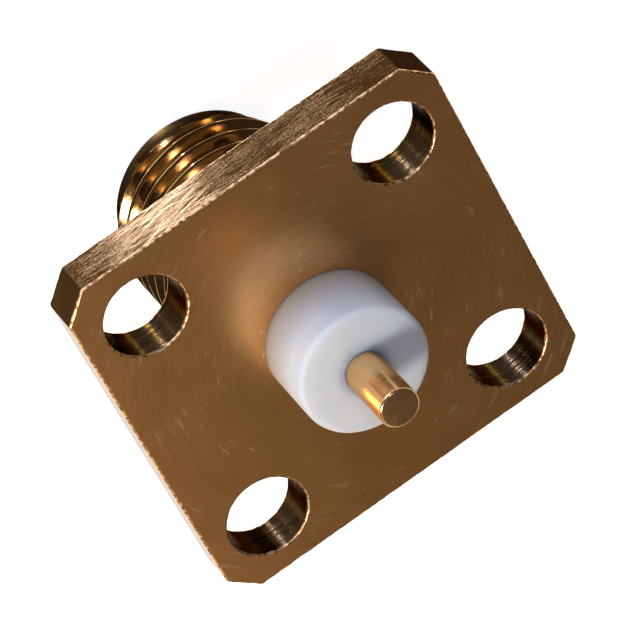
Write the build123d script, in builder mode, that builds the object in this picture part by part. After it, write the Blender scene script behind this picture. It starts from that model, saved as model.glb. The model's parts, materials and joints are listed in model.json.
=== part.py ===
from build123d import *
import os
from math import radians, tan

# A panel-mount coaxial jack: a square flange and a threaded barrel turned from one piece of brass, a
# PTFE insulator pressed through its bore, and a contact with a spring socket in front and a post behind.
# The frame is at the centre of the flange's rear face, with +Z along the post.  All sizes are in mm.

# Flange
FLANGE_SIDE = 12.70
FLANGE_THICKNESS = 1.47
FLANGE_CORNER_CUT = 0.85
FLANGE_CORNER_ROUND = 0.15
FLANGE_EDGE_BREAK = 0.04
SCREW_HOLE_SPACING = 8.636
SCREW_HOLE_DIAMETER = 2.60

# Barrel, with the thread drawn as a plain cylinder at its major diameter
THREAD_MAJOR_DIAMETER = 6.35
BARREL_LENGTH = 7.83
PILOT_DIAMETER = 5.49
PILOT_LENGTH = 0.70
PILOT_EDGE_BREAK = 0.10
RELIEF_DIAMETER = 5.40
RELIEF_WIDTH = 0.60

# Stepped bore of the body
RECESS_DIAMETER = 4.60
RECESS_DEPTH = 1.93
RECESS_LEAD_IN = 0.10
BORE_DIAMETER = 4.10
BORE_EDGE_BREAK = 0.04
GROOVE_DEPTH = 0.25
GROOVE_WIDTH = 0.60
GROOVE_SETBACK = 2.40

# Insulator, squeezed to the bore inside the body and back at its free diameter behind it
INSULATOR_FREE_DIAMETER = 4.13
INSULATOR_PROJECTION = 2.41
INSULATOR_EDGE_BREAK = 0.05

# Contact
CONTACT_DIAMETER = 1.27
CONTACT_SETBACK = 0.08
POST_PROJECTION = 2.26
POST_TIP_CHAMFER = 0.09
SOCKET_DIAMETER = 0.94
SOCKET_DEPTH = 3.00
SOCKET_LEAD_IN = 0.09
DRILL_POINT_ANGLE = 118
SLOT_COUNT = 4
SLOT_WIDTH = 0.15
SLOT_LENGTH = 2.30
FINGER_CLEARANCE = 0.06
BARB_HEIGHT = 0.18
BARB_LENGTH = 0.80
BARB_SETBACK = 0.12

# Heights along the axis
FLANGE_FRONT = -FLANGE_THICKNESS
BARREL_FRONT = FLANGE_FRONT - BARREL_LENGTH
REFERENCE_PLANE = BARREL_FRONT + RECESS_DEPTH
CONTACT_FRONT = REFERENCE_PLANE + CONTACT_SETBACK
SLOT_END = CONTACT_FRONT + SLOT_LENGTH
SOCKET_END = CONTACT_FRONT + SOCKET_DEPTH
POST_TIP = INSULATOR_PROJECTION + POST_PROJECTION

# Radii
THREAD_RADIUS = THREAD_MAJOR_DIAMETER / 2
PILOT_RADIUS = PILOT_DIAMETER / 2
RELIEF_RADIUS = RELIEF_DIAMETER / 2
RECESS_RADIUS = RECESS_DIAMETER / 2
BORE_RADIUS = BORE_DIAMETER / 2
INSULATOR_FREE_RADIUS = INSULATOR_FREE_DIAMETER / 2
CONTACT_RADIUS = CONTACT_DIAMETER / 2
SOCKET_RADIUS = SOCKET_DIAMETER / 2
FINGER_ROOM_RADIUS = CONTACT_RADIUS + FINGER_CLEARANCE


def groove_section():
    """Half section of the groove inside the body's bore, and of the bead of insulator that fills it."""
    with Locations((BORE_RADIUS, REFERENCE_PLANE + GROOVE_SETBACK)):
        Rectangle(GROOVE_DEPTH, GROOVE_WIDTH, align=(Align.MIN, Align.MIN))


def barb_points():
    """Corners of the contact's barb, from the foot of its ramp to the shoulder that bites in the insulator."""
    shoulder = INSULATOR_PROJECTION - BARB_SETBACK
    return [
        (CONTACT_RADIUS, shoulder - BARB_LENGTH),
        (CONTACT_RADIUS + BARB_HEIGHT, shoulder),
        (CONTACT_RADIUS, shoulder),
    ]


# Body: the flange, the barrel and the stepped bore through both
with BuildPart() as body:
    with BuildSketch(Plane.XY.offset(FLANGE_FRONT)) as flange_outline:
        Rectangle(FLANGE_SIDE, FLANGE_SIDE)
        chamfer(flange_outline.vertices(), FLANGE_CORNER_CUT)
        fillet(flange_outline.vertices(), FLANGE_CORNER_ROUND)
    extrude(amount=FLANGE_THICKNESS)
    chamfer(body.faces().filter_by(Axis.Z).edges(), FLANGE_EDGE_BREAK)
    with GridLocations(SCREW_HOLE_SPACING, SCREW_HOLE_SPACING, 2, 2):
        Hole(SCREW_HOLE_DIAMETER / 2)

    thread_end_chamfer = THREAD_RADIUS - PILOT_RADIUS
    relief_ramp = THREAD_RADIUS - RELIEF_RADIUS
    with BuildSketch(Plane.XZ):
        with BuildLine():
            Polyline(
                (0, FLANGE_FRONT),
                (RELIEF_RADIUS, FLANGE_FRONT),
                (RELIEF_RADIUS, FLANGE_FRONT - RELIEF_WIDTH),
                (THREAD_RADIUS, FLANGE_FRONT - RELIEF_WIDTH - relief_ramp),
                (THREAD_RADIUS, BARREL_FRONT + PILOT_LENGTH + thread_end_chamfer),
                (PILOT_RADIUS, BARREL_FRONT + PILOT_LENGTH),
                (PILOT_RADIUS, BARREL_FRONT + PILOT_EDGE_BREAK),
                (PILOT_RADIUS - PILOT_EDGE_BREAK, BARREL_FRONT),
                (0, BARREL_FRONT),
                close=True,
            )
        make_face()
    revolve(axis=Axis.Z)

    with BuildSketch(Plane.XZ):
        with BuildLine():
            Polyline(
                (0, BARREL_FRONT),
                (RECESS_RADIUS + RECESS_LEAD_IN, BARREL_FRONT),
                (RECESS_RADIUS, BARREL_FRONT + RECESS_LEAD_IN),
                (RECESS_RADIUS, REFERENCE_PLANE),
                (BORE_RADIUS, REFERENCE_PLANE),
                (BORE_RADIUS, -BORE_EDGE_BREAK),
                (BORE_RADIUS + BORE_EDGE_BREAK, 0),
                (0, 0),
                close=True,
            )
        make_face()
        groove_section()
    revolve(axis=Axis.Z, mode=Mode.SUBTRACT)

# Insulator: flush with the reference plane in front, standing out of the rear face behind
with BuildPart() as insulator:
    spring_back = INSULATOR_FREE_RADIUS - BORE_RADIUS
    with BuildSketch(Plane.XZ):
        with BuildLine():
            Polyline(
                (FINGER_ROOM_RADIUS, REFERENCE_PLANE),
                (BORE_RADIUS, REFERENCE_PLANE),
                (BORE_RADIUS, -BORE_EDGE_BREAK),
                (INSULATOR_FREE_RADIUS, -BORE_EDGE_BREAK + spring_back),
                (INSULATOR_FREE_RADIUS, INSULATOR_PROJECTION - INSULATOR_EDGE_BREAK),
                (INSULATOR_FREE_RADIUS - INSULATOR_EDGE_BREAK, INSULATOR_PROJECTION),
                (CONTACT_RADIUS, INSULATOR_PROJECTION),
                *reversed(barb_points()),
                (CONTACT_RADIUS, SLOT_END),
                (FINGER_ROOM_RADIUS, SLOT_END),
                close=True,
            )
        make_face()
        groove_section()
    revolve(axis=Axis.Z)

# Contact: slotted spring socket in front, barb held in the insulator, post behind
with BuildPart() as contact:
    drill_point = SOCKET_RADIUS / tan(radians(DRILL_POINT_ANGLE / 2))
    with BuildSketch(Plane.XZ):
        with BuildLine():
            Polyline(
                (SOCKET_RADIUS + SOCKET_LEAD_IN, CONTACT_FRONT),
                (CONTACT_RADIUS, CONTACT_FRONT),
                *barb_points(),
                (CONTACT_RADIUS, POST_TIP - POST_TIP_CHAMFER),
                (CONTACT_RADIUS - POST_TIP_CHAMFER, POST_TIP),
                (0, POST_TIP),
                (0, SOCKET_END),
                (SOCKET_RADIUS, SOCKET_END - drill_point),
                (SOCKET_RADIUS, CONTACT_FRONT + SOCKET_LEAD_IN),
                close=True,
            )
        make_face()
    revolve(axis=Axis.Z)
    with BuildSketch(Plane.XY.offset(CONTACT_FRONT)):
        with PolarLocations(0, SLOT_COUNT):
            Rectangle(CONTACT_DIAMETER, SLOT_WIDTH, align=(Align.MIN, Align.CENTER))
    extrude(amount=SLOT_LENGTH, mode=Mode.SUBTRACT)

body.part.label = "body"
insulator.part.label = "insulator"
contact.part.label = "contact"

os.makedirs("parts", exist_ok=True)
export_step(body.part, "parts/body.step")
export_step(insulator.part, "parts/insulator.step")
export_step(contact.part, "parts/contact.step")
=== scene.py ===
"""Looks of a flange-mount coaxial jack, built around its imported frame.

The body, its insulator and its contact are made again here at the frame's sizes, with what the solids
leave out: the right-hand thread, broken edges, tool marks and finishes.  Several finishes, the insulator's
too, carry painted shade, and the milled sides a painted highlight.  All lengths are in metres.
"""

import json
import logging
import math
from dataclasses import dataclass
from enum import Enum, IntEnum
from functools import partial
from typing import Callable

import bmesh
import bpy
from mathutils import Euler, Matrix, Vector, noise


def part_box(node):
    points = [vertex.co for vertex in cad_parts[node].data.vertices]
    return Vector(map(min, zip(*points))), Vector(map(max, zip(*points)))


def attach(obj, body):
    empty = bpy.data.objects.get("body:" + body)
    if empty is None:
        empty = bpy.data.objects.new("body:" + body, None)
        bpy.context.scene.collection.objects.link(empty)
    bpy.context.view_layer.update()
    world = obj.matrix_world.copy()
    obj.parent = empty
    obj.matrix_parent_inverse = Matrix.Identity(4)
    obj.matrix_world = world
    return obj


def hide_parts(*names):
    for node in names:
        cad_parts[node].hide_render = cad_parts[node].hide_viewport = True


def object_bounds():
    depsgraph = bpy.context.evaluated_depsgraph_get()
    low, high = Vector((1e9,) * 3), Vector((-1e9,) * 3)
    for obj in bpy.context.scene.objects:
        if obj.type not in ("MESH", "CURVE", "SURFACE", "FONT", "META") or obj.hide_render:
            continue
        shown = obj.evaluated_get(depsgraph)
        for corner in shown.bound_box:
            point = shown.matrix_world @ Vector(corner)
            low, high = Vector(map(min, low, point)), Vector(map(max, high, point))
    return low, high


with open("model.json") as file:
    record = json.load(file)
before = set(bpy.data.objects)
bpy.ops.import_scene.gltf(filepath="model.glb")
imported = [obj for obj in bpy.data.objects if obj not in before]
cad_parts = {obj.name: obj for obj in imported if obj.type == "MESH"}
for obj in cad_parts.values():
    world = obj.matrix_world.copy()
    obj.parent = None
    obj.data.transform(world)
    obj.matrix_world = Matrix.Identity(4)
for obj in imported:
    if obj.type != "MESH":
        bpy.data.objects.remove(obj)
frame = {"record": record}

LOG = logging.getLogger("jack")
MM = 0.001
MERGE = 0.2e-6
CAD_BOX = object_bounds()

Pair = tuple[float, float]
Colour = tuple[float, float, float]
Ring = list[bmesh.types.BMVert]
Material = bpy.types.Material
Socket = bpy.types.NodeSocket
Tree = bpy.types.NodeTree

NUMBER = "NodeSocketFloat"
GEOMETRY = "NodeSocketGeometry"
SOCKET_TYPES = {float: NUMBER, int: "NodeSocketInt", Material: "NodeSocketMaterial"}


def mount_size(name: str, key: str) -> float:
    """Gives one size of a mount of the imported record, in metres."""
    return next(m for m in frame["record"]["mounts"] if m["name"] == name)["dims"][key] * MM


@dataclass(frozen=True)
class JackSizes:
    """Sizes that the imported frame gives, and those inside the jack that two pieces share."""

    flange_side: float
    barrel_front: float
    insulator_front: float
    insulator_rear: float
    contact_front: float
    post_tip: float
    hole_spacing: float
    hole_radius: float
    thread_radius: float
    recess_radius: float
    socket_radius: float
    contact_radius: float
    bore_radius: float = 2.05 * MM
    bore_edge: float = 0.015 * MM
    groove_depth: float = 0.25 * MM
    groove_width: float = 0.60 * MM
    groove_setback: float = 2.40 * MM
    slot_length: float = 2.30 * MM
    barb_height: float = 0.18 * MM
    barb_length: float = 0.80 * MM
    barb_setback: float = 0.12 * MM

    @classmethod
    def read(cls) -> "JackSizes":
        """Reads the sizes from the nodes' boxes and the record's mounts.

        Returns:
            The sizes.
        """
        body_low, body_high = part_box("body")
        insulator_low, insulator_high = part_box("insulator")
        contact_low, contact_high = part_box("contact")
        return cls(
            flange_side=body_high.x - body_low.x,
            barrel_front=body_low.z,
            insulator_front=insulator_low.z,
            insulator_rear=insulator_high.z,
            contact_front=contact_low.z,
            post_tip=contact_high.z,
            hole_spacing=mount_size("flange_holes", "spacing_x_mm"),
            hole_radius=mount_size("flange_holes", "hole_r_mm"),
            thread_radius=mount_size("coupling_thread", "r_mm"),
            recess_radius=mount_size("mating_recess", "r_mm"),
            socket_radius=mount_size("contact_socket", "r_mm"),
            contact_radius=mount_size("rear_post", "r_mm"),
        )

    def groove(self) -> list[Pair]:
        """Gives the corners of the groove in the bore.

        Returns:
            The corners as (radius, height), upwards.
        """
        low = self.insulator_front + self.groove_setback
        high = low + self.groove_width
        bore, bottom = self.bore_radius, self.bore_radius + self.groove_depth
        return [(bore, low), (bottom, low), (bottom, high), (bore, high)]

    def barb(self) -> list[Pair]:
        """Gives the corners of the contact's barb.

        Returns:
            The corners as (radius, height), upwards.
        """
        shoulder = self.insulator_rear - self.barb_setback
        radius, peak = self.contact_radius, self.contact_radius + self.barb_height
        return [(radius, shoulder - self.barb_length), (peak, shoulder), (radius, shoulder)]


class Lay(Enum):
    """The way a tool's marks run over a surface."""

    CIRCLES = "circles about the jack's axis, as a facing cut leaves them"
    RINGS = "rings one above another about the jack's axis, as on a turned barrel"
    BORED = "rings one above another about each screw hole"
    LINES = "lines along the flange's sides, as a milling cut leaves them"


class Skin(IntEnum):
    """The surfaces of the body, in the order of its material slots."""

    FACED = 0
    MILLED = 1
    CORNER = 2
    DRILLED = 3
    THREAD = 4
    PILOT = 5
    EDGE = 6
    UNDERSIDE = 7


class Nodes:
    """A node tree with short calls to add nodes and join them."""

    def __init__(self, tree: Tree) -> None:
        """Takes the tree that the nodes go into."""
        self.tree = tree

    def fill(self, node: bpy.types.Node, inputs: dict) -> None:
        """Sets or links a node's inputs.

        Args:
            node: the node.
            inputs: values or output sockets, by the input's name or number.
        """
        for key, value in inputs.items():
            if isinstance(value, Socket):
                self.tree.links.new(value, node.inputs[key])
            else:
                node.inputs[key].default_value = value

    def add(self, kind: str, inputs: dict | None = None, **settings) -> bpy.types.Node:
        """Adds a node.

        Args:
            kind: the node's type name.
            inputs: values or output sockets, by the input's name or number.
            **settings: the node's own properties.

        Returns:
            The new node.
        """
        node = self.tree.nodes.new(kind)
        for key, value in settings.items():
            setattr(node, key, value)
        self.fill(node, inputs or {})
        return node

    def math(self, operation: str, *values: float | Socket) -> Socket:
        """Adds a Math node and gives its output."""
        return self.add("ShaderNodeMath", dict(enumerate(values)), operation=operation).outputs[0]

    def total(self, *terms: tuple[Socket, float]) -> Socket:
        """Adds up sockets.

        Args:
            *terms: the sockets, each with the number that it is multiplied by.

        Returns:
            The sum's socket.
        """
        result = 0.0
        for socket, share in terms:
            result = self.math("MULTIPLY_ADD", socket, share, result)
        return result

    def blend(self, share: float | Socket, low: tuple | Socket, high: tuple | Socket) -> Socket:
        """Mixes two colours by a share.

        Args:
            share: the share of the second colour.
            low: the first colour, as four numbers or a socket.
            high: the second colour, as four numbers or a socket.

        Returns:
            The mixed colour's socket.
        """
        factor, first, second, mixed = 0, 6, 7, 2
        inputs = {factor: share, first: low, second: high}
        return self.add("ShaderNodeMix", inputs, data_type="RGBA").outputs[mixed]

    def spread(self, value: Socket, span: Pair, ends: Pair = (0.0, 1.0)) -> Socket:
        """Maps the values of a span to those between two ends, held there beyond it."""
        return self.add("ShaderNodeMapRange", dict(enumerate((value, *span, *ends)))).outputs[0]

    def place(self) -> Socket:
        """Gives the Object coordinates."""
        return self.add("ShaderNodeTexCoord").outputs["Object"]

    def parts(self, vector: Socket) -> tuple[Socket, Socket, Socket]:
        """Splits a vector into its X, Y and Z."""
        return tuple(self.add("ShaderNodeSeparateXYZ", {0: vector}).outputs)

    def vector(self, *parts: float | Socket) -> Socket:
        """Joins an X, a Y and a Z to a vector."""
        return self.add("ShaderNodeCombineXYZ", dict(enumerate(parts))).outputs[0]

    def texture(self, spot: Socket, scale: float | Socket, detail: float, roughness: float = 0.5) -> Socket:
        """Adds a noise texture and gives its output, from 0 to 1."""
        inputs = {"Vector": spot, "Scale": scale, "Detail": detail, "Roughness": roughness}
        return self.add("ShaderNodeTexNoise", inputs).outputs[0]

    def bump(self, relief: Socket) -> Socket:
        """Gives the normals of a surface with this relief, which is in metres."""
        inputs = {"Height": relief, "Strength": 1.0, "Distance": 1.0}
        return self.add("ShaderNodeBump", inputs).outputs["Normal"]

    def close(self, mesh: Socket, material: Socket, leave: bpy.types.Node) -> Tree:
        """Ends a tree of geometry nodes.

        Args:
            mesh: the geometry's socket.
            material: the material's socket.
            leave: the group's output node.

        Returns:
            The finished tree.
        """
        real = self.add("GeometryNodeRealizeInstances", {0: mesh}).outputs[0]
        made = self.add("GeometryNodeSetMaterial", {"Geometry": real, "Material": material})
        self.fill(leave, {"Geometry": made.outputs[0]})
        return self.tree


def rgba(colour: Colour) -> tuple[float, float, float, float]:
    """Gives a colour the fourth number that a socket asks for."""
    return (*colour, 1.0)


def start_group(
    name: str, kind: str, inputs: dict[str, str], outputs: dict[str, str]
) -> tuple[Nodes, bpy.types.bpy_prop_collection, bpy.types.Node]:
    """Starts a node group with named sockets.

    Args:
        name: the group's name.
        kind: the type of node tree.
        inputs: the type of each input socket, by name.
        outputs: the type of each output socket, by name.

    Returns:
        The group's nodes, the sockets that its inputs come from, and its output node.
    """
    tree = bpy.data.node_groups.new(name, kind)
    for in_out, sockets in (("INPUT", inputs), ("OUTPUT", outputs)):
        for socket, socket_type in sockets.items():
            tree.interface.new_socket(socket, in_out=in_out, socket_type=socket_type)
    nodes = Nodes(tree)
    return nodes, nodes.add("NodeGroupInput").outputs, nodes.add("NodeGroupOutput")


def start_material(name: str) -> tuple[Material, Nodes, bpy.types.Node]:
    """Starts a material.

    Args:
        name: the material's name.

    Returns:
        The material, its nodes and its shader node.
    """
    material = bpy.data.materials.new(name)
    material.use_nodes = True
    return material, Nodes(material.node_tree), material.node_tree.nodes["Principled BSDF"]


def add_object(name: str, data: bpy.types.ID) -> bpy.types.Object:
    """Adds an object to the scene.

    Args:
        name: the object's name.
        data: its mesh, light or camera.

    Returns:
        The object.
    """
    made = bpy.data.objects.new(name, data)
    bpy.context.scene.collection.objects.link(made)
    return made


class Effects:
    """The shader node groups that several finishes share, each built once.

    The milled marks are drawn stronger and lighter about one X along the flange's sides, and fall off away
    from it: a painted highlight where the sides catch the light, with the marks' relief deepened there too.
    """

    MARK_INPUTS = {"Marks per Millimetre": NUMBER, "Arc Share": NUMBER, "Seed": NUMBER}
    mark_detail: float = 3.0
    turned_roughness: float = 0.6
    milled_roughness: float = 0.65
    grain_detail: float = 4.0
    cloud_detail: float = 2.0
    noise_middle: float = 0.5
    side_share: float = 0.61
    mill_slants: Pair = (0.30, -0.16)
    seed_per_slant: float = 100.0
    # Painted highlight on the milled sides: where it peaks along X, how far it reaches, and how strongly and
    # how much lighter the marks are drawn at its middle and at its reach.
    painted_highlight_x: float = -2.3 * MM
    painted_highlight_reach: float = 2.4 * MM
    painted_highlight_strengths: Pair = (1.75, 0.6)
    painted_highlight_lifts: Pair = (0.08, 0.0)

    def __init__(self, sizes: JackSizes) -> None:
        """Builds the groups.

        Args:
            sizes: the jack's sizes.
        """
        self.sizes = sizes
        self.marks = {
            Lay.CIRCLES: self.polar_marks("Facing marks", along_axis=False, about_hole=False),
            Lay.RINGS: self.polar_marks("Turning marks", along_axis=True, about_hole=False),
            Lay.BORED: self.polar_marks("Boring marks", along_axis=True, about_hole=True),
            Lay.LINES: self.straight_marks("Milling marks"),
        }
        self.grain = self.even_grain("Plating grain")

    def polar_marks(self, name: str, along_axis: bool, about_hole: bool) -> Tree:
        """Builds a group of marks that run round an axis.

        Args:
            name: the group's name.
            along_axis: True where the marks lie one above another, False where one lies in another.
            about_hole: True where they run round the nearest screw hole instead of the jack's axis.

        Returns:
            The node group.  Its Marks output is fine noise drawn out round the axis, from 0 to 1.
        """
        nodes, entry, leave = start_group(name, "ShaderNodeTree", self.MARK_INPUTS, {"Marks": NUMBER})
        across, along, height = nodes.parts(nodes.place())
        if about_hole:
            half = self.sizes.hole_spacing / 2
            across = nodes.math("SUBTRACT", nodes.math("ABSOLUTE", across), half)
            along = nodes.math("SUBTRACT", nodes.math("ABSOLUTE", along), half)
        angle = nodes.math("ARCTAN2", along, across)
        squares = [nodes.math("MULTIPLY", side, side) for side in (across, along)]
        step = height if along_axis else nodes.math("SQRT", nodes.math("ADD", *squares))
        fine = nodes.math("MULTIPLY", nodes.math("DIVIDE", step, MM), entry["Marks per Millimetre"])
        turn_x = nodes.math("MULTIPLY", nodes.math("COSINE", angle), entry["Arc Share"])
        turn_y = nodes.math("MULTIPLY", nodes.math("SINE", angle), entry["Arc Share"])
        spot = nodes.vector(fine, nodes.math("ADD", turn_x, entry["Seed"]), turn_y)
        nodes.fill(leave, {"Marks": nodes.texture(spot, 1.0, self.mark_detail, self.turned_roughness)})
        return nodes.tree

    def straight_marks(self, name: str) -> Tree:
        """Builds a group of marks that run along the flange's sides, in two passes that cross, drawn
        stronger and lighter about one X as a painted highlight.

        Args:
            name: the group's name.

        Returns:
            The node group, with the same sockets as the marks that run round an axis.
        """
        nodes, entry, leave = start_group(name, "ShaderNodeTree", self.MARK_INPUTS, {"Marks": NUMBER})
        across, along, height = nodes.parts(nodes.place())
        run = nodes.math("DIVIDE", nodes.math("MULTIPLY_ADD", along, self.side_share, across), MM)
        rise = nodes.math("DIVIDE", height, MM)
        slow = nodes.math("MULTIPLY", run, entry["Arc Share"])
        passes = []
        for slant in self.mill_slants:
            fine = nodes.math("MULTIPLY_ADD", run, slant, rise)
            fine = nodes.math("MULTIPLY", fine, entry["Marks per Millimetre"])
            seed = nodes.math("ADD", entry["Seed"], self.seed_per_slant * slant)
            spot = nodes.vector(slow, seed, fine)
            passes.append(nodes.texture(spot, 1.0, self.mark_detail, self.milled_roughness))
        # Painted highlight: about one X the marks are drawn stronger and lifted, so that the milled sides,
        # corners and edge breaks come out lighter there.
        away = nodes.math("ABSOLUTE", nodes.math("SUBTRACT", across, self.painted_highlight_x))
        strength = nodes.spread(away, (0.0, self.painted_highlight_reach), self.painted_highlight_strengths)
        painted_lift = nodes.spread(away, (0.0, self.painted_highlight_reach), self.painted_highlight_lifts)
        strongest = nodes.math("SUBTRACT", nodes.math("MAXIMUM", *passes), self.noise_middle)
        strongest = nodes.math("MULTIPLY_ADD", strongest, strength, self.noise_middle)
        nodes.fill(leave, {"Marks": nodes.math("ADD", strongest, painted_lift)})
        return nodes.tree

    def even_grain(self, name: str) -> Tree:
        """Builds a group of even grain and broad clouding.

        Args:
            name: the group's name.

        Returns:
            The node group.  Grain is fine noise and Cloud is broad noise, both from 0 to 1.
        """
        inputs = {"Grains per Millimetre": NUMBER, "Clouds per Millimetre": NUMBER}
        outputs = {"Grain": NUMBER, "Cloud": NUMBER}
        nodes, entry, leave = start_group(name, "ShaderNodeTree", inputs, outputs)
        scaled = {0: nodes.place(), "Scale": 1 / MM}
        spot = nodes.add("ShaderNodeVectorMath", scaled, operation="SCALE").outputs[0]
        grain = nodes.texture(spot, entry["Grains per Millimetre"], self.grain_detail)
        cloud = nodes.texture(spot, entry["Clouds per Millimetre"], self.cloud_detail)
        nodes.fill(leave, {"Grain": grain, "Cloud": cloud})
        return nodes.tree

    def place_marks(self, nodes: Nodes, lay: Lay, density: float, arc: float, seed: float = 0.0) -> Socket:
        """Places a group of marks in a material and gives its output."""
        inputs = {"Marks per Millimetre": density, "Arc Share": arc, "Seed": seed}
        return nodes.add("ShaderNodeGroup", inputs, node_tree=self.marks[lay]).outputs["Marks"]

    def place_grain(self, nodes: Nodes, grains: float, clouds: float) -> bpy.types.bpy_prop_collection:
        """Places the group of grain in a material and gives its outputs, Grain and Cloud."""
        inputs = {"Grains per Millimetre": grains, "Clouds per Millimetre": clouds}
        return nodes.add("ShaderNodeGroup", inputs, node_tree=self.grain).outputs


@dataclass(frozen=True)
class PlatedMetal:
    """Gold plate over a machined surface.

    The marks and the grain move the colour from dark to light and the roughness from low to high.  Where a
    skin's dark and light colours are set far below the plate's own, they are painted shade.
    """

    name: str
    dark: Colour
    light: Colour
    lay: Lay
    roughness: Pair = (0.30, 0.42)
    matte_range: Pair = (0.42, 0.62)
    marks_per_mm: float = 16.0
    arc_share: float = 3.0
    marks_height: float = 0.6e-6
    grains_per_mm: float = 14.0
    clouds_per_mm: float = 0.5
    grain_height: float = 0.4e-6
    grain_share: float = 0.35
    cloud_share: float = 0.35
    middle: float = 0.5
    contrast: float = 0.22
    rim_tint: Colour = (0.9, 0.7, 0.5)
    speckle: float = 0.5
    scratches: float = 0.0
    scratches_per_mm: float = 3.0
    scratch_height: float = 2e-6
    scratch_light: Colour = (1.0, 0.75, 0.44)
    scratch_seed: float = 7.0
    scratch_gather: float = 0.4
    scratch_range: Pair = (0.84, 0.92)

    def build(self, effects: Effects) -> Material:
        """Builds the material.

        Args:
            effects: the shared node groups.

        Returns:
            The finished material.
        """
        material, nodes, shader = start_material(self.name)
        marks = effects.place_marks(nodes, self.lay, self.marks_per_mm, self.arc_share)
        noises = effects.place_grain(nodes, self.grains_per_mm, self.clouds_per_mm)
        grain, cloud = noises["Grain"], noises["Cloud"]
        marks_share = 1 - self.grain_share - self.cloud_share
        tone = nodes.total((marks, marks_share), (grain, self.grain_share), (cloud, self.cloud_share))
        tone = nodes.spread(tone, (self.middle - self.contrast, self.middle + self.contrast))
        matte = nodes.total((marks, 1 - self.speckle), (grain, self.speckle))
        relief = nodes.total((marks, self.marks_height), (grain, self.grain_height))
        colour = nodes.blend(tone, rgba(self.dark), rgba(self.light))
        if self.scratches:
            scratch = self.scratch_mask(nodes, effects, cloud)
            relief = nodes.math("MULTIPLY_ADD", scratch, -self.scratch_height, relief)
            share = nodes.math("MULTIPLY", scratch, self.scratches)
            colour = nodes.blend(share, colour, rgba(self.scratch_light))
        nodes.fill(shader, {
            "Base Color": colour,
            "Roughness": nodes.spread(matte, self.matte_range, self.roughness),
            "Normal": nodes.bump(relief),
            "Metallic": 1.0,
            "Specular Tint": rgba(self.rim_tint),
        })
        return material

    def scratch_mask(self, nodes: Nodes, effects: Effects, cloud: Socket) -> Socket:
        """Picks the strongest of a coarser set of marks as single scratches.

        Args:
            nodes: the material's nodes.
            effects: the shared node groups.
            cloud: broad noise that gathers the scratches in places.

        Returns:
            The mask's socket, 1 in a scratch.
        """
        density, seed = self.scratches_per_mm, self.scratch_seed
        coarse = effects.place_marks(nodes, self.lay, density, self.arc_share, seed)
        gathered = nodes.math("MULTIPLY_ADD", cloud, self.scratch_gather, coarse)
        return nodes.spread(gathered, self.scratch_range)


@dataclass(frozen=True)
class TurnedPtfe:
    """Milky PTFE with the faint rings of a sharp tool.

    It lets a little light through.  Its colour is also painted darker and browner towards the flange that it
    stands on, as painted shade and painted brown light from the metal.
    """

    name: str = "turned_ptfe"
    dark: Colour = (0.63, 0.69, 0.74)
    light: Colour = (0.69, 0.74, 0.78)
    painted_shade_colour: Colour = (0.37, 0.315, 0.25)
    painted_shade_reach: float = 1.7 * MM
    roughness: float = 0.5
    refraction: float = 1.38
    shine: float = 0.1
    depth: float = 1.3 * MM
    reach: Colour = (1.0, 0.8, 0.6)
    marks_per_mm: float = 9.0
    arc_share: float = 1.5
    relief_height: float = 0.5e-6
    grains_per_mm: float = 10.0
    clouds_per_mm: float = 0.8
    cloud_range: Pair = (0.3, 0.7)

    def build(self, effects: Effects) -> Material:
        """Builds the material.

        Args:
            effects: the shared node groups.

        Returns:
            The finished material.
        """
        material, nodes, shader = start_material(self.name)
        marks = effects.place_marks(nodes, Lay.RINGS, self.marks_per_mm, self.arc_share)
        noises = effects.place_grain(nodes, self.grains_per_mm, self.clouds_per_mm)
        tone = nodes.spread(noises["Cloud"], self.cloud_range)
        colour = nodes.blend(tone, rgba(self.dark), rgba(self.light))
        # Painted shade: the colour turns darker and browner towards the flange, where the insulator is
        # shaded and lit by the brown metal.
        height = nodes.parts(nodes.place())[2]
        clear = nodes.spread(height, (0.0, self.painted_shade_reach))
        relief = nodes.total((marks, self.relief_height), (noises["Grain"], self.relief_height))
        nodes.fill(shader, {
            "Base Color": nodes.blend(clear, rgba(self.painted_shade_colour), colour),
            "Normal": nodes.bump(relief),
            "Roughness": self.roughness,
            "IOR": self.refraction,
            "Specular IOR Level": self.shine,
            "Subsurface Weight": 1.0,
            "Subsurface Radius": self.reach,
            "Subsurface Scale": self.depth,
        })
        return material


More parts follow.
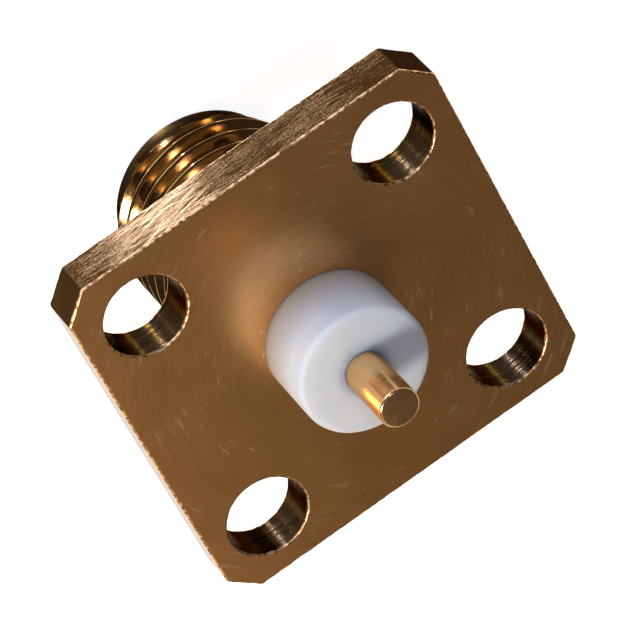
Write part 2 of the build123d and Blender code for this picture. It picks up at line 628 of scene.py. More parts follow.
BODY_FINISHES = {
    Skin.FACED: PlatedMetal(
        "faced_gold", (0.68, 0.365, 0.140), (0.90, 0.505, 0.215), Lay.CIRCLES,
        roughness=(0.315, 0.33), marks_per_mm=9.0, arc_share=5.0, marks_height=0.65e-6,
        grains_per_mm=20.0, grain_height=0.15e-6, speckle=0.6, scratches=0.9, scratches_per_mm=6.0,
        scratch_height=0.8e-6, contrast=0.16,
    ),
    # Painted shade and painted highlight: the dark colour lies far below the plate's own for the shaded
    # sides, and the light one stands in for the streaks that catch the light.
    Skin.MILLED: PlatedMetal(
        "milled_gold_painted_shade_and_highlight", (0.045, 0.021, 0.007), (0.90, 0.595, 0.32), Lay.LINES,
        roughness=(0.08, 0.13), marks_per_mm=30.0, arc_share=0.6, marks_height=1.2e-6,
        grains_per_mm=14.0, grain_height=1.2e-6, grain_share=0.15, cloud_share=0.1,
        middle=0.60, contrast=0.08, rim_tint=(0.6, 0.5, 0.4),
    ),
    # Painted shade: the cut corners are coloured near black, with a dimmed rim tint, for their shade and
    # dark reflections.
    Skin.CORNER: PlatedMetal(
        "cut_corner_gold_painted_shade", (0.018, 0.0125, 0.008), (0.058, 0.041, 0.026), Lay.LINES, marks_height=5e-6,
        rim_tint=(0.40, 0.36, 0.32),
    ),
    # Painted shade: the screw holes' walls are coloured near black, with a dimmed rim tint, for the shade in
    # the holes.
    Skin.DRILLED: PlatedMetal(
        "drilled_gold_painted_shade", (0.011, 0.0072, 0.0045), (0.045, 0.032, 0.022), Lay.BORED, roughness=(0.18, 0.28),
        marks_per_mm=8.0, arc_share=1.0, marks_height=2e-5, rim_tint=(0.40, 0.36, 0.30),
    ),
    # Painted shade: the thread is coloured about a third as bright as the faced plate, for the shade and
    # dark reflections under the flange.
    Skin.THREAD: PlatedMetal(
        "thread_gold_painted_shade", (0.21, 0.125, 0.048), (0.27, 0.162, 0.068), Lay.RINGS, roughness=(0.10, 0.15),
        marks_height=0.25e-6, grain_height=0.5e-6,
    ),
    # Painted shade: the pilot is coloured near black, with a dimmed rim tint, for its shade and dark
    # reflections.
    Skin.PILOT: PlatedMetal(
        "pilot_gold_painted_shade", (0.019, 0.0145, 0.0105), (0.048, 0.037, 0.027), Lay.RINGS, rim_tint=(0.34, 0.27, 0.21),
    ),
    Skin.EDGE: PlatedMetal(
        "worn_edge_gold", (0.30, 0.15, 0.06), (1.0, 0.62, 0.32), Lay.LINES,
        roughness=(0.28, 0.42), grains_per_mm=7.0, grain_height=5e-6, grain_share=0.9, cloud_share=0.05,
        middle=0.48, contrast=0.06,
    ),
    # Painted shade: the flange's underside shares the thread's darkened colour, for the shade under the
    # flange.
    Skin.UNDERSIDE: PlatedMetal(
        "underside_gold_painted_shade", (0.21, 0.125, 0.048), (0.27, 0.162, 0.068), Lay.CIRCLES, roughness=(0.08, 0.11),
        marks_height=0.15e-6, grain_height=0.05e-6,
    ),
}

CONTACT_FINISH = PlatedMetal(
    "contact_gold", (0.74, 0.44, 0.20), (0.88, 0.56, 0.28), Lay.RINGS,
    roughness=(0.21, 0.26), grain_height=0.05e-6, marks_height=0.2e-6, grain_share=0.1, speckle=0.3,
)


def around(ring: Ring) -> zip:
    """Pairs each vertex of a ring with the next one, and the last with the first."""
    return zip(ring, ring[1:] + ring[:1])


class Shell:
    """A closed mesh in the making, lofted ring by ring."""

    def __init__(self, name: str) -> None:
        """Starts an empty shell under the name that the finished piece gets."""
        self.name = name
        self.mesh = bmesh.new()

    def ring(self, points: list[Vector]) -> Ring:
        """Adds one ring of vertices and returns it."""
        return [self.mesh.verts.new(p) for p in points]

    def loft(self, rings: list[Ring], skin: int = 0) -> None:
        """Joins rings of equal length by strips of quads.

        Args:
            rings: the rings, in order.
            skin: the material slot of the new faces.
        """
        for low, high in zip(rings, rings[1:]):
            for (a, b), (d, c) in zip(around(low), around(high)):
                face = self.mesh.faces.new((a, b, c, d))
                face.material_index = skin
                face.smooth = True

    def crease(self, ring: Ring) -> None:
        """Marks a ring's own edges sharp, so that the surfaces on both sides keep their normals."""
        for pair in around(ring):
            self.mesh.edges.get(pair).smooth = False

    def flat(self, loops: list[Ring], skin: int) -> None:
        """Fills the flat face between an outer loop and any loops inside it.

        Args:
            loops: the outer loop and the inner ones.
            skin: the material slot of the new faces.
        """
        pairs = [pair for loop in loops for pair in around(loop)]
        edges = [self.mesh.edges.get(pair) or self.mesh.edges.new(pair) for pair in pairs]
        made = bmesh.ops.triangle_fill(self.mesh, edges=edges, use_beauty=True, use_dissolve=False)
        for item in made["geom"]:
            if isinstance(item, bmesh.types.BMFace):
                item.material_index = skin
                item.smooth = False

    def finish(self, node: str, materials: list[Material], sharp: float) -> bpy.types.Object:
        """Closes the shell and makes it a piece that stands for a node of the frame.

        Args:
            node: the node that the piece replaces.
            materials: the materials, in slot order.
            sharp: edges that turn by more than this many degrees are shaded sharp.

        Returns:
            The finished object.
        """
        bmesh.ops.remove_doubles(self.mesh, verts=self.mesh.verts, dist=MERGE)
        bmesh.ops.dissolve_degenerate(self.mesh, edges=self.mesh.edges, dist=MERGE)
        bmesh.ops.recalc_face_normals(self.mesh, faces=self.mesh.faces)
        for edge in self.mesh.edges:
            if edge.is_manifold and edge.calc_face_angle() > math.radians(sharp):
                edge.smooth = False
        data = bpy.data.meshes.new(self.name)
        self.mesh.to_mesh(data)
        open_edges = sum(1 for e in self.mesh.edges if not e.is_manifold)
        self.mesh.free()
        for material in materials:
            data.materials.append(material)
        piece = add_object(self.name, data)
        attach(piece, "root")
        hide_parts(node)
        triangles = sum(len(p.vertices) - 2 for p in data.polygons)
        LOG.info("%s: %d triangles, %d open edges", self.name, triangles, open_edges)
        return piece


def heading(angle: float) -> Vector:
    """Gives the unit vector at an angle in plan."""
    return Vector((math.cos(angle), math.sin(angle)))


def circle(radius: float, height: float, steps: int, centre: Pair = (0.0, 0.0)) -> list[Vector]:
    """Points of a level circle.

    Args:
        radius: the circle's radius.
        height: its height.
        steps: how many points it has.
        centre: its centre in plan.

    Returns:
        The points, anticlockwise from +X.
    """
    turns = [2 * math.pi * i / steps for i in range(steps)]
    plan = [(centre[0] + radius * math.cos(a), centre[1] + radius * math.sin(a)) for a in turns]
    return [Vector((x, y, height)) for x, y in plan]


def soften(profile: list[Pair], radius: float, steps: int = 3, keep_below: float = 0.0) -> list[Pair]:
    """Rounds the corners of a half section.

    Args:
        profile: the section's corners as (radius, height).
        radius: how far the rounding reaches along each side, held to a third of a short side.
        steps: how many segments a corner gets.
        keep_below: corners nearer to the axis than this stay sharp.

    Returns:
        The section with its corners rounded.  Its two ends stay.
    """
    result = [profile[0]]
    for before, corner, after in zip(profile, profile[1:], profile[2:]):
        if corner[0] < keep_below:
            result.append(corner)
            continue
        c, b, a = Vector(corner), Vector(before), Vector(after)
        reach = min(radius, (b - c).length / 3, (a - c).length / 3)
        start, end = c + (b - c).normalized() * reach, c + (a - c).normalized() * reach
        for i in range(steps + 1):
            t = i / steps
            result.append(tuple(start * (1 - t) ** 2 + c * 2 * t * (1 - t) + end * t ** 2))
    result.append(profile[-1])
    return result


def socket_types(values: dict) -> dict[str, str]:
    """Gives the type of socket that each of a tree's values goes into, by name."""
    kinds = SOCKET_TYPES.items()
    return {name: next(kind for base, kind in kinds if isinstance(v, base)) for name, v in values.items()}


def evaluate_tree(tree: Tree, values: dict, start: bpy.types.Mesh | None = None) -> bpy.types.Mesh:
    """Runs a tree of geometry nodes once and keeps its result as a plain mesh.

    Args:
        tree: the tree.
        values: the value of each input, by its name.
        start: the mesh that goes into the tree, if it takes one.

    Returns:
        The resulting mesh.
    """
    host = add_object(tree.name, start or bpy.data.meshes.new(tree.name))
    modifier = host.modifiers.new(tree.name, "NODES")
    modifier.node_group = tree
    for item in tree.interface.items_tree:
        if item.in_out == "INPUT" and item.name in values:
            modifier[item.identifier] = values[item.name]
    depsgraph = bpy.context.evaluated_depsgraph_get()
    made = bpy.data.meshes.new_from_object(host.evaluated_get(depsgraph))
    host.modifiers.clear()
    bpy.data.objects.remove(host)
    return made


@dataclass
class ThreadSkin:
    """The helical surface of the barrel, made by a tree of geometry nodes.

    A grid is wrapped round the axis.  Its rows rise with the helix, so that the crest's and the root's
    corners fall on rows, and rows past either end are held there and merged.
    """

    crest_radius: float
    root_radius: float
    relief_radius: float
    low: float
    high: float
    pitch: float = 25.4 / 36 * MM
    crest_height_at_x: float = -7.841 * MM
    rows_per_pitch: int = 48
    crest_rows: int = 1
    flank_rows: int = 18
    flank_swell: float = 0.012 * MM
    crest_wear: float = 0.018 * MM
    nicks_per_metre: float = 4e4
    crest_fade: float = 6.0
    ring_steps: int = 120

    def values(self, material: Material) -> dict:
        """Works out the value of each of the tree's inputs.

        Args:
            material: the thread's material.

        Returns:
            The values by the inputs' names.
        """
        rise = self.pitch / self.rows_per_pitch
        below = math.ceil((self.crest_height_at_x - self.low) / rise) + self.rows_per_pitch
        first = self.crest_height_at_x - below * rise
        return {
            "Crest Radius": self.crest_radius,
            "Root Radius": self.root_radius,
            "Relief Radius": self.relief_radius,
            "Pitch": self.pitch,
            "Crest Half Width": self.crest_rows * rise,
            "Flank Width": self.flank_rows * rise,
            "Flank Swell": self.flank_swell,
            "Crest Wear": self.crest_wear,
            "Nicks per Metre": self.nicks_per_metre,
            "Crest Height": self.crest_height_at_x,
            "Low End": self.low,
            "High End": self.high,
            "First Row": first,
            "Row Rise": rise,
            "Rows": math.ceil((self.high - first) / rise) + 1,
            "Ring Steps": self.ring_steps,
            "Material": material,
        }

    def tree(self, inputs: dict[str, str]) -> Tree:
        """Builds the tree of geometry nodes.

        The grid that it starts from is 1 long both ways and lies about the origin.

        Args:
            inputs: the type of each input socket, by name.

        Returns:
            The tree.
        """
        outputs = {"Geometry": GEOMETRY}
        nodes, entry, leave = start_group("Thread skin", "GeometryNodeTree", inputs, outputs)
        calc = nodes.math
        columns = calc("ADD", entry["Ring Steps"], 1)
        size = {"Size X": 1.0, "Size Y": 1.0, "Vertices X": entry["Rows"], "Vertices Y": columns}
        grid = nodes.add("GeometryNodeMeshGrid", size).outputs[0]
        along, across, _ = nodes.parts(nodes.add("GeometryNodeInputPosition").outputs[0])
        turn = calc("ADD", across, 0.5)
        angle = calc("MULTIPLY", turn, 2 * math.pi)
        climb = calc("MULTIPLY", turn, entry["Pitch"])
        row = calc("MULTIPLY", calc("ADD", along, 0.5), calc("SUBTRACT", entry["Rows"], 1))
        height = calc("MULTIPLY_ADD", row, entry["Row Rise"], entry["First Row"])
        height = calc("MAXIMUM", calc("ADD", height, climb), entry["Low End"])
        height = calc("MINIMUM", height, entry["High End"])
        crest = calc("ADD", entry["Crest Height"], climb)
        half_pitch = calc("MULTIPLY", entry["Pitch"], 0.5)
        minus_half = calc("MULTIPLY", entry["Pitch"], -0.5)
        offset = calc("WRAP", calc("SUBTRACT", height, crest), half_pitch, minus_half)
        beyond = calc("SUBTRACT", calc("ABSOLUTE", offset), entry["Crest Half Width"])
        share = calc("DIVIDE", beyond, entry["Flank Width"])
        share = calc("MINIMUM", calc("MAXIMUM", share, 0.0), 1.0)
        depth = calc("SUBTRACT", entry["Root Radius"], entry["Crest Radius"])
        radius = calc("MULTIPLY_ADD", share, depth, entry["Crest Radius"])
        swell = calc("SINE", calc("MULTIPLY", share, math.pi))
        radius = calc("MULTIPLY_ADD", swell, entry["Flank Swell"], radius)
        cosine, sine = calc("COSINE", angle), calc("SINE", angle)
        round_x, round_y = (calc("MULTIPLY", part, entry["Crest Radius"]) for part in (cosine, sine))
        nicks = nodes.texture(nodes.vector(round_x, round_y, height), entry["Nicks per Metre"], detail=0.0)
        on_crest = calc("MAXIMUM", calc("MULTIPLY_ADD", share, -self.crest_fade, 1.0), 0.0)
        worn = calc("MULTIPLY", calc("MULTIPLY", nicks, on_crest), entry["Crest Wear"])
        radius = calc("SUBTRACT", radius, worn)
        chamfer = calc("ADD", entry["Root Radius"], calc("SUBTRACT", height, entry["Low End"]))
        ramp = calc("ADD", entry["Relief Radius"], calc("SUBTRACT", entry["High End"], height))
        radius = calc("MINIMUM", calc("MINIMUM", radius, chamfer), ramp)
        x, y = (calc("MULTIPLY", radius, part) for part in (cosine, sine))
        moved = {"Geometry": grid, "Position": nodes.vector(x, y, height)}
        placed = nodes.add("GeometryNodeSetPosition", moved).outputs[0]
        merge = {"Geometry": placed, "Distance": MERGE}
        merged = nodes.add("GeometryNodeMergeByDistance", merge).outputs[0]
        return nodes.close(merged, entry["Material"], leave)

    def build(self, material: Material) -> bpy.types.Mesh:
        """Makes the skin of this material as a plain mesh, open at both ends."""
        values = self.values(material)
        return evaluate_tree(self.tree(socket_types(values)), values)


@dataclass(frozen=True)
class EdgeRing:
    """Where one ring of a broken edge lies.

    It is reach away from the wall and sink above the face, both as shares of the edge break's size.
    """

    face: float
    size: float
    reach: float
    sink: float


@dataclass
class FlangedBody:
    """The square flange with its threaded barrel and stepped bore, one turned and milled piece."""

    sizes: JackSizes
    materials: list[Material]
    flange_thickness: float = 1.47 * MM
    corner_cut: float = 0.85 * MM
    corner_round: float = 0.15 * MM
    edge_break: float = 0.06 * MM
    front_break: float = 0.03 * MM
    pilot_radius: float = 2.745 * MM
    pilot_length: float = 0.70 * MM
    pilot_edge: float = 0.10 * MM
    relief_radius: float = 2.70 * MM
    relief_width: float = 0.60 * MM
    recess_lead_in: float = 0.10 * MM
    corner_softness: float = 0.02 * MM
    side_step: float = 0.09 * MM
    round_steps: int = 5
    hole_steps: int = 96
    edge_steps: int = 4
    nick_size: float = 0.03 * MM
    nicks_per_mm: float = 5.0
    sharp_angle: float = 62.0

    @property
    def flange_front(self) -> float:
        """Height of the flange's front face."""
        return -self.flange_thickness

    def thread(self) -> ThreadSkin:
        """Gives the barrel's thread.

        Returns:
            The thread, with its sizes and no mesh yet.
        """
        return ThreadSkin(
            crest_radius=self.sizes.thread_radius,
            root_radius=self.pilot_radius,
            relief_radius=self.relief_radius,
            low=self.sizes.barrel_front + self.pilot_length,
            high=self.flange_front - self.relief_width,
        )

    def outline(self, inset: Callable[[Vector], float], height: float) -> list[Vector]:
        """Points of the flange's outline, moved inwards.

        Args:
            inset: gives how far inwards the outline lies near a point.
            height: the outline's height.

        Returns:
            The points, anticlockwise, with straight runs divided evenly.
        """

        def place(centre: Vector, normal: Vector) -> Vector:
            """Places the point that lies at the corner's radius from a centre."""
            on_outline = centre + normal * self.corner_round
            return Vector((*(on_outline - normal * inset(on_outline)), height))

        half = self.sizes.flange_side / 2
        cut = half - self.corner_cut
        corners = []
        for turn in range(4):
            c, s = math.cos(turn * math.pi / 2), math.sin(turn * math.pi / 2)
            for x, y in ((half, cut), (cut, half)):
                corners.append(Vector((x * c - y * s, x * s + y * c)))
        points = []
        count = len(corners)
        for i, corner in enumerate(corners):
            before, after = corners[i - 1], corners[(i + 1) % count]
            into, out = (corner - before).normalized(), (after - corner).normalized()
            bend = math.acos(into.dot(out)) / 2
            centre = corner + (out - into).normalized() * (self.corner_round / math.cos(bend))
            first = math.atan2(-into.x, into.y)
            for k in range(self.round_steps + 1):
                points.append(place(centre, heading(first + 2 * bend * k / self.round_steps)))
            start = centre + heading(first + 2 * bend) * self.corner_round
            next_bend = math.acos(out.dot((corners[(i + 2) % count] - after).normalized())) / 2
            end = after - out * self.corner_round * math.tan(next_bend)
            steps = max(2, round((end - start).length / self.side_step))
            side = Vector((out.y, -out.x))
            for k in range(1, steps):
                points.append(place(start.lerp(end, k / steps) - side * self.corner_round, side))
        return points

    def wear(self, place: Vector) -> float:
        """Gives how much wider the edge break is at a place, for small nicks and burrs."""
        spot = Vector((place.x / MM * self.nicks_per_mm, place.y / MM * self.nicks_per_mm, 0.0))
        return self.nick_size * noise.noise(spot)

    def flange_rim(self, ring: EdgeRing) -> list[Vector]:
        """Gives the points of one ring of the flange's broken edge.

        Args:
            ring: where the ring lies.

        Returns:
            The points.
        """
        points = self.outline(lambda p: ring.reach * (ring.size + self.wear(p)), ring.face)
        for p in points:
            p.z = ring.face + ring.sink * (ring.size + self.wear(p))
        return points

    def hole_rim(self, centre: Pair, ring: EdgeRing) -> list[Vector]:
        """Gives the points of one ring of a screw hole's broken edge.

        Args:
            centre: the hole's centre in plan.
            ring: where the ring lies.

        Returns:
            The points.
        """
        points = circle(self.sizes.hole_radius, ring.face, self.hole_steps, centre)
        for p in points:
            size = ring.size + self.wear(p)
            away = Vector((p.x - centre[0], p.y - centre[1], 0.0)).normalized()
            p += away * ring.reach * size
            p.z = ring.face + ring.sink * size
        return points

    def wall(
        self, shell: Shell, rim: Callable[[EdgeRing], list[Vector]], front_size: float, skin: Skin
    ) -> tuple[Ring, Ring]:
        """Builds a wall of the flange with a broken edge at both faces.

        Args:
            shell: the body's mesh in the making.
            rim: gives the points of one ring of a broken edge.
            front_size: the size of the edge break at the front face.
            skin: the wall's skin.

        Returns:
            The wall's loops in the rear face and in the front face.
        """
        edges = []
        for face, inward, size in ((0.0, -1.0, self.edge_break), (self.flange_front, 1.0, front_size)):
            rings = []
            for k in range(self.edge_steps + 1):
                angle = math.pi / 2 * k / self.edge_steps
                ring = EdgeRing(face, size, 1 - math.sin(angle), inward * (1 - math.cos(angle)))
                rings.append(shell.ring(rim(ring)))
            shell.loft(rings, Skin.EDGE)
            edges.append(rings)
        rear, front = edges
        shell.loft([rear[-1], front[-1]], skin)
        for ring in (rear[0], rear[-1], front[-1], front[0]):
            shell.crease(ring)
        return rear[0], front[0]

    def paint_corner_shade(self, shell: Shell) -> None:
        """Gives the cut corners of the flange the near-black material that paints shade and a dark
        reflection on them.

        Args:
            shell: the body's mesh in the making.
        """
        slack = self.corner_round / 2
        least = self.sizes.flange_side / 2 - self.corner_cut - slack
        least_sum = self.sizes.flange_side - self.corner_cut - slack
        for face in shell.mesh.faces:
            middle = face.calc_center_median()
            x, y = abs(middle.x), abs(middle.y)
            if face.material_index == Skin.MILLED and x + y > least_sum and min(x, y) > least:
                face.material_index = Skin.CORNER

    def barrel_section(self) -> list[tuple[Skin, list[Pair]]]:
        """Gives the half section below the thread and up through the bore.

        Returns:
            Stretches of one skin each, with their corners as (radius, height).
        """
        front, reference = self.sizes.barrel_front, self.sizes.insulator_front
        recess, bore, pilot = self.sizes.recess_radius, self.sizes.bore_radius, self.pilot_radius
        edge = self.sizes.bore_edge
        outside = [
            (pilot, front + self.pilot_length),
            (pilot, front + self.pilot_edge),
            (pilot - self.pilot_edge, front),
            (recess + self.recess_lead_in, front),
        ]
        inside = [
            (recess + self.recess_lead_in, front),
            (recess, front + self.recess_lead_in),
            (recess, reference),
            (bore, reference),
            *self.sizes.groove(),
            (bore, -edge),
        ]
        return [
            (Skin.PILOT, soften(outside, self.corner_softness)),
            (Skin.THREAD, soften(inside, self.corner_softness)),
            (Skin.FACED, [(bore, -edge), (bore + edge, 0.0)]),
        ]

    def build(self) -> bpy.types.Object:
        """Builds the body.

        Returns:
            The finished piece.
        """
        shell = Shell("body_looks")
        thread = self.thread()
        steps = thread.ring_steps
        rear_outer, front_outer = self.wall(shell, self.flange_rim, self.front_break, Skin.MILLED)
        self.paint_corner_shade(shell)
        half = self.sizes.hole_spacing / 2
        rims = [partial(self.hole_rim, (x, y)) for x in (-half, half) for y in (-half, half)]
        holes = [self.wall(shell, rim, self.edge_break, Skin.DRILLED) for rim in rims]
        rear_holes, front_holes = zip(*holes)
        for skin, profile in self.barrel_section():
            rings = [shell.ring(circle(r, z, steps)) for r, z in profile]
            shell.loft(rings, skin)
        relief = [shell.ring(circle(self.relief_radius, z, steps)) for z in (thread.high, self.flange_front)]
        shell.loft(relief, Skin.THREAD)
        shell.flat([rear_outer, rings[-1], *rear_holes], Skin.FACED)
        shell.flat([front_outer, relief[-1], *front_holes], Skin.UNDERSIDE)
        self.add_thread(shell, thread)
        return shell.finish("body", self.materials, self.sharp_angle)

    def add_thread(self, shell: Shell, thread: ThreadSkin) -> None:
        """Joins the thread's skin to the body's mesh.

        Args:
            shell: the body's mesh in the making.
            thread: the barrel's thread.
        """
        before = set(shell.mesh.faces)
        skin = thread.build(self.materials[Skin.THREAD])
        shell.mesh.from_mesh(skin)
        for face in shell.mesh.faces:
            if face not in before:
                face.material_index = Skin.THREAD
                face.smooth = True
        bpy.data.meshes.remove(skin)


@dataclass
class Insulator:
    """The turned PTFE bush that fills the bore and stands out behind the flange."""

    sizes: JackSizes
    material: Material
    free_radius: float = 2.065 * MM
    rim_round: float = 0.10 * MM
    round_steps: int = 8
    finger_room: float = 0.06 * MM
    ring_steps: int = 128
    sharp_angle: float = 40.0

    def section(self) -> list[Pair]:
        """Gives the closed half section.

        Returns:
            The corners as (radius, height), from the inside of the front face round.
        """
        front, rear = self.sizes.insulator_front, self.sizes.insulator_rear
        contact, bore = self.sizes.contact_radius, self.sizes.bore_radius
        room = contact + self.finger_room
        slot_end = self.sizes.contact_front + self.sizes.slot_length
        return [
            (room, front),
            (bore, front),
            *self.sizes.groove(),
            (bore, -self.sizes.bore_edge),
            (self.free_radius, self.free_radius - bore - self.sizes.bore_edge),
            (self.free_radius, rear - self.rim_round),
            (self.free_radius - self.rim_round, rear),
            (contact, rear),
            *reversed(self.sizes.barb()),
            (contact, slot_end),
            (room, slot_end),
            (room, front),
        ]

    def build(self) -> bpy.types.Object:
        """Builds the insulator.

        Returns:
            The finished piece.
        """
        shell = Shell("insulator_looks")
        hole = self.sizes.contact_radius + self.sizes.barb_height + self.rim_round
        profile = soften(self.section(), self.rim_round, self.round_steps, keep_below=hole)
        shell.loft([shell.ring(circle(r, z, self.ring_steps)) for r, z in profile])
        return shell.finish("insulator", [self.material], self.sharp_angle)


@dataclass
class Contact:
    """The contact: a slotted spring socket in front, a barb in the insulator and a post behind."""

    sizes: JackSizes
    material: Material
    tip_chamfer: float = 0.055 * MM
    socket_depth: float = 3.00 * MM
    socket_lead_in: float = 0.09 * MM
    drill_point_angle: float = 118.0
    slot_count: int = 4
    slot_width: float = 0.15 * MM
    corner_softness: float = 0.025 * MM
    ring_steps: int = 96
    sharp_angle: float = 30.0

    def section(self) -> list[Pair]:
        """Gives the half section.

        Returns:
            The corners as (radius, height), from the socket's bottom out and up to the tip.
        """
        front, tip = self.sizes.contact_front, self.sizes.post_tip
        radius, socket = self.sizes.contact_radius, self.sizes.socket_radius
        bottom = front + self.socket_depth
        cone = socket / math.tan(math.radians(self.drill_point_angle / 2))
        return [
            (0.0, bottom),
            (socket, bottom - cone),
            (socket, front + self.socket_lead_in),
            (socket + self.socket_lead_in, front),
            (radius, front),
            *self.sizes.barb(),
            (radius, tip - self.tip_chamfer),
            (radius - self.tip_chamfer, tip),
            (0.0, tip),
        ]

    def slot_tree(self, inputs: dict[str, str]) -> Tree:
        """Builds the tree of geometry nodes that cuts the slots between the spring fingers.

        A blade's middle lies in the contact's front, so it is twice as long as its slot.

        Args:
            inputs: the type of each input socket, by name.

        Returns:
            The tree.
        """
        sockets = {"Geometry": GEOMETRY, **inputs}
        outputs = {"Geometry": GEOMETRY}
        nodes, entry, leave = start_group("Finger slots", "GeometryNodeTree", sockets, outputs)
        reach = entry["Slot Reach"]
        size = nodes.vector(reach, entry["Slot Width"], nodes.math("MULTIPLY", entry["Slot Length"], 2.0))
        blade = nodes.add("GeometryNodeMeshCube", {"Size": size}).outputs[0]
        shift = nodes.vector(nodes.math("MULTIPLY", reach, 0.5), 0.0, entry["Front Height"])
        blade = nodes.add("GeometryNodeTransform", {"Geometry": blade, "Translation": shift}).outputs[0]
        points = nodes.add("GeometryNodePoints", {"Count": entry["Slot Count"]}).outputs[0]
        number = nodes.add("GeometryNodeInputIndex").outputs[0]
        turn = nodes.math("DIVIDE", 2 * math.pi, entry["Slot Count"])
        rotation = nodes.vector(0.0, 0.0, nodes.math("MULTIPLY", number, turn))
        placed = {"Points": points, "Instance": blade, "Rotation": rotation}
        blades = nodes.add("GeometryNodeInstanceOnPoints", placed).outputs[0]
        blades = nodes.add("GeometryNodeRealizeInstances", {0: blades}).outputs[0]
        meshes = {0: entry["Geometry"], 1: blades, "Self Intersection": True}
        cut = nodes.add("GeometryNodeMeshBoolean", meshes, operation="DIFFERENCE", solver="EXACT")
        return nodes.close(cut.outputs[0], entry["Material"], leave)

    def turned(self) -> bpy.types.Mesh:
        """Makes the contact as it comes from the lathe, without its slots.

        Returns:
            The mesh.
        """
        lathe = Shell("contact_turned")
        profile = soften(self.section(), self.corner_softness)
        rings = [lathe.ring(circle(r, z, self.ring_steps)) for r, z in profile if r > 0]
        lathe.loft(rings)
        for ring, end in ((rings[0], profile[0]), (rings[-1], profile[-1])):
            pole = lathe.mesh.verts.new((0.0, 0.0, end[1]))
            for a, b in around(ring):
                lathe.mesh.faces.new((a, b, pole)).smooth = True
        bmesh.ops.recalc_face_normals(lathe.mesh, faces=lathe.mesh.faces)
        made = bpy.data.meshes.new(lathe.name)
        lathe.mesh.to_mesh(made)
        lathe.mesh.free()
        return made

    def build(self) -> bpy.types.Object:
        """Builds the contact.

        Returns:
            The finished piece.
        """
        values = {
            "Slot Count": self.slot_count,
            "Slot Width": self.slot_width,
            "Slot Length": self.sizes.slot_length,
            "Slot Reach": self.sizes.contact_radius * 2,
            "Front Height": self.sizes.contact_front,
            "Material": self.material,
        }
        slotted = evaluate_tree(self.slot_tree(socket_types(values)), values, self.turned())
        shell = Shell("contact_looks")
        shell.mesh.from_mesh(slotted)
        bpy.data.meshes.remove(slotted)
        for face in shell.mesh.faces:
            face.smooth = True
            face.material_index = 0
        return shell.finish("contact", [self.material], self.sharp_angle)


@dataclass(frozen=True)
class Lamp:
    """A soft round lamp, given by where it stands as seen from the jack.

    The level is the brightness that it gives to a white matte surface that faces it.  The share is how
    much of it also comes from below, as from a polished table that mirrors it.
    """

    name: str
    azimuth: float
    elevation: float
    width: float
    level: float
    colour: Colour = (1.0, 1.0, 1.0)
    distance: float = 400 * MM
    share: float = 0.0

    def build(self, pieces: bpy.types.Collection) -> None:
        """Adds the lamp and, where it has a share, its twin below, which lights the jack alone.

        Args:
            pieces: the collection of the jack's pieces.
        """
        self.place(self.name, self.elevation, self.level)
        if self.share:
            twin = self.place(self.name + "_mirrored", -self.elevation, self.level * self.share)
            twin.light_linking.receiver_collection = pieces
            twin.light_linking.blocker_collection = pieces

    def place(self, name: str, elevation: float, level: float) -> bpy.types.Object:
        """Adds one lamp, turned to the jack.

        Args:
            name: the lamp's name.
            elevation: its angle above the floor, in degrees.
            level: its level.

        Returns:
            The lamp.
        """
        data = bpy.data.lights.new(name, "AREA")
        data.shape = "DISK"
        data.size = 2 * self.distance * math.tan(math.radians(self.width / 2))
        data.energy = level * (math.pi * self.distance) ** 2
        data.color = self.colour
        az, el = math.radians(self.azimuth), math.radians(elevation)
        towards = Vector((math.cos(az) * math.cos(el), math.sin(az) * math.cos(el), math.sin(el)))
        lamp = add_object(name, data)
        lamp.location = towards * self.distance
        lamp.rotation_euler = towards.to_track_quat("Z", "Y").to_euler()
        return lamp


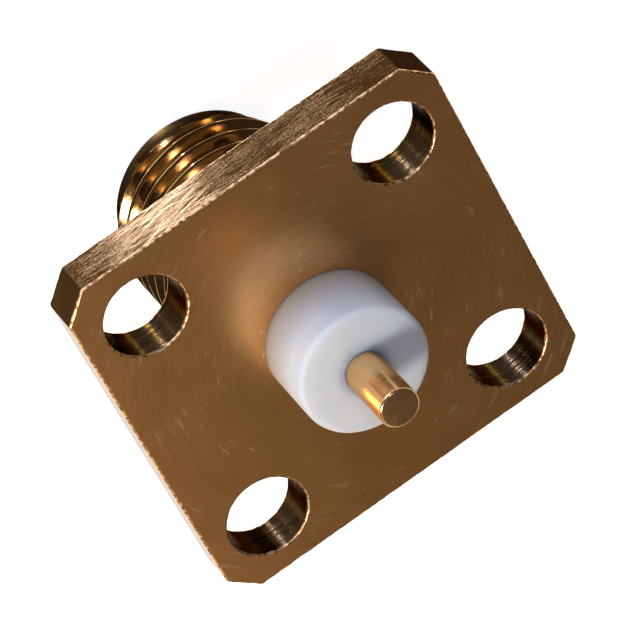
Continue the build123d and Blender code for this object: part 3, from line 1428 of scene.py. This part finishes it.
@dataclass(frozen=True)
class Studio:
    """The floor, the light and the camera."""

    pieces: tuple[bpy.types.Object, ...]
    camera_place: tuple[float, float, float] = (-17.518 * MM, 100.652 * MM, 126.490 * MM)
    camera_turn: tuple[float, float, float] = (-30.522, -25.161, -25.903)
    lens: float = 315.97
    sensor: float = 36.0
    nearest: float = 0.001
    farthest: float = 10.0
    floor_half: float = 1.5
    floor_gap: float = 0.01 * MM
    floor_colour: Colour = (0.82, 0.82, 0.82)
    floor_glow: float = 0.80
    world_colour: Colour = (0.105, 0.088, 0.070)
    lamps: tuple[Lamp, ...] = (
        Lamp("key_left", 174.0, 46.0, 14.0, 0.70, (1.0, 0.94, 0.87), 90 * MM, 0.10),
        Lamp("key_behind", 83.5, 62.7, 2.4, 0.07, (0.9, 1.0, 1.6), share=9.5),
        Lamp("glint_left", 129.0, 63.0, 5.0, 0.003, share=28.0),
        Lamp("glint_right", 29.0, 51.0, 5.0, 0.003, share=32.0),
        Lamp("card_left", -125.0, 45.0, 38.0, 0.108, (1.0, 0.72, 0.44), 100 * MM),
        Lamp("front", 105.0, 14.0, 36.0, 0.36, (0.88, 1.04, 1.38)),
    )

    def camera(self) -> None:
        """Adds the camera at the photograph's viewing angle."""
        data = bpy.data.cameras.new("camera")
        data.lens = self.lens
        data.sensor_width = self.sensor
        data.clip_start = self.nearest
        data.clip_end = self.farthest
        camera = add_object("camera", data)
        camera.location = self.camera_place
        camera.rotation_euler = Euler([math.radians(a) for a in self.camera_turn], "XYZ")
        bpy.context.scene.camera = camera

    def floor(self) -> None:
        """Adds the pale floor, white to the camera and in the metal's reflections and clear from below."""
        height = CAD_BOX[0].z - self.floor_gap
        half = self.floor_half
        data = bpy.data.meshes.new("floor")
        plan = ((-half, -half), (half, -half), (half, half), (-half, half))
        data.from_pydata([(x, y, height) for x, y in plan], [], [(0, 1, 2, 3)])
        material, nodes, shader = start_material("pale_floor")
        nodes.tree.nodes.remove(shader)
        path = nodes.add("ShaderNodeLightPath").outputs
        seen = nodes.math("MAXIMUM", path["Is Camera Ray"], path["Is Glossy Ray"])
        seen = nodes.math("MAXIMUM", seen, path["Is Transmission Ray"])
        strength = nodes.math("MULTIPLY", seen, self.floor_glow)
        glow = nodes.add("ShaderNodeEmission", {"Strength": strength}).outputs[0]
        matte = nodes.add("ShaderNodeBsdfDiffuse", {"Color": rgba(self.floor_colour)}).outputs[0]
        both = nodes.add("ShaderNodeAddShader", {0: glow, 1: matte}).outputs[0]
        clear = nodes.add("ShaderNodeBsdfTransparent").outputs[0]
        below = nodes.add("ShaderNodeNewGeometry").outputs["Backfacing"]
        mixed = nodes.add("ShaderNodeMixShader", {0: below, 1: both, 2: clear}).outputs[0]
        nodes.fill(nodes.tree.nodes["Material Output"], {"Surface": mixed})
        data.materials.append(material)
        floor = add_object("floor", data)

    def world(self) -> None:
        """Sets a plain dim surrounding."""
        world = bpy.data.worlds.new("studio")
        world.use_nodes = True
        background = world.node_tree.nodes["Background"]
        background.inputs["Color"].default_value = rgba(self.world_colour)
        background.inputs["Strength"].default_value = 1.0
        bpy.context.scene.world = world

    def build(self) -> None:
        """Adds everything round the jack."""
        self.world()
        self.floor()
        pieces = bpy.data.collections.new("jack")
        for piece in self.pieces:
            pieces.objects.link(piece)
        for lamp in self.lamps:
            lamp.build(pieces)
        self.camera()
        bpy.context.scene.view_settings.view_transform = "Standard"


def main() -> None:
    """Builds the three pieces and the studio."""
    logging.basicConfig(level=logging.INFO, format="%(name)s: %(message)s")
    sizes = JackSizes.read()
    effects = Effects(sizes)
    body = FlangedBody(sizes, [BODY_FINISHES[skin].build(effects) for skin in Skin]).build()
    insulator = Insulator(sizes, TurnedPtfe().build(effects)).build()
    contact = Contact(sizes, CONTACT_FINISH.build(effects)).build()
    Studio((body, insulator, contact)).build()


if __name__ == "__main__":
    main()
